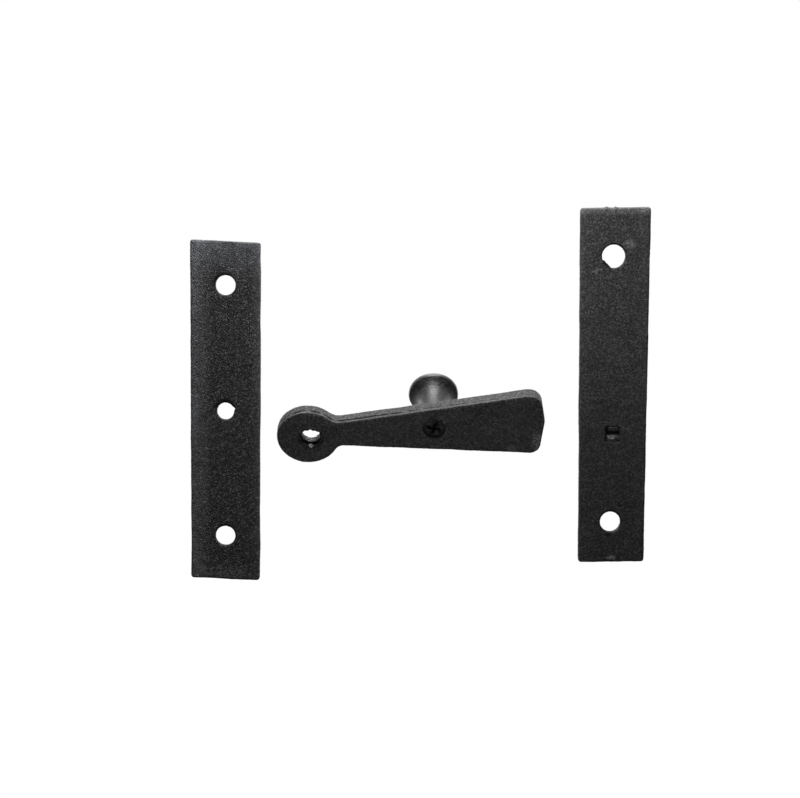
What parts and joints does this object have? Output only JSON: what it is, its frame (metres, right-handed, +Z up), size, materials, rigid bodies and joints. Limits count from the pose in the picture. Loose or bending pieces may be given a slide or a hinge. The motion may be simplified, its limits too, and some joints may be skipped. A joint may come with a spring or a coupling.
{
  "type": "cupboard catch latch",
  "caption": "Black iron cupboard latch set, laid out apart: latch plate, lift arm with a turned knob on a pivot bush, and keeper plate with a staked hook.",
  "frame": {"origin": "middle of the latch plate's back face, on the axis of its pivot hole", "axes": "+X from the latch plate to the keeper plate, +Y from the plates' backs to their fronts, +Z up as fixed to a cupboard"},
  "size_m": [0.1303, 0.0247, 0.1074],
  "materials": {
    "textured_black": "fine sandy textured powder coat",
    "satin_black": "satin powder coat",
    "screw_black": "black coat over steel, worn on the recess",
    "bush_steel": "dark turned steel"
  },
  "bodies": {
    "plates": {"latch_plate": "textured_black", "keeper_plate": "textured_black", "keeper_hook": "textured_black", "pivot_bush": "bush_steel"},
    "arm": {"latch_arm": "textured_black", "knob": "satin_black", "knob_screw": "screw_black"}
  },
  "joints": [
    {"name": "arm_swing", "type": "hinge", "parent": "plates", "child": "arm", "pos_m": [0.02435, 0, -0.0078], "axis": [0, -0.8572, -0.515], "range_deg": [0, 90]}
  ]
}
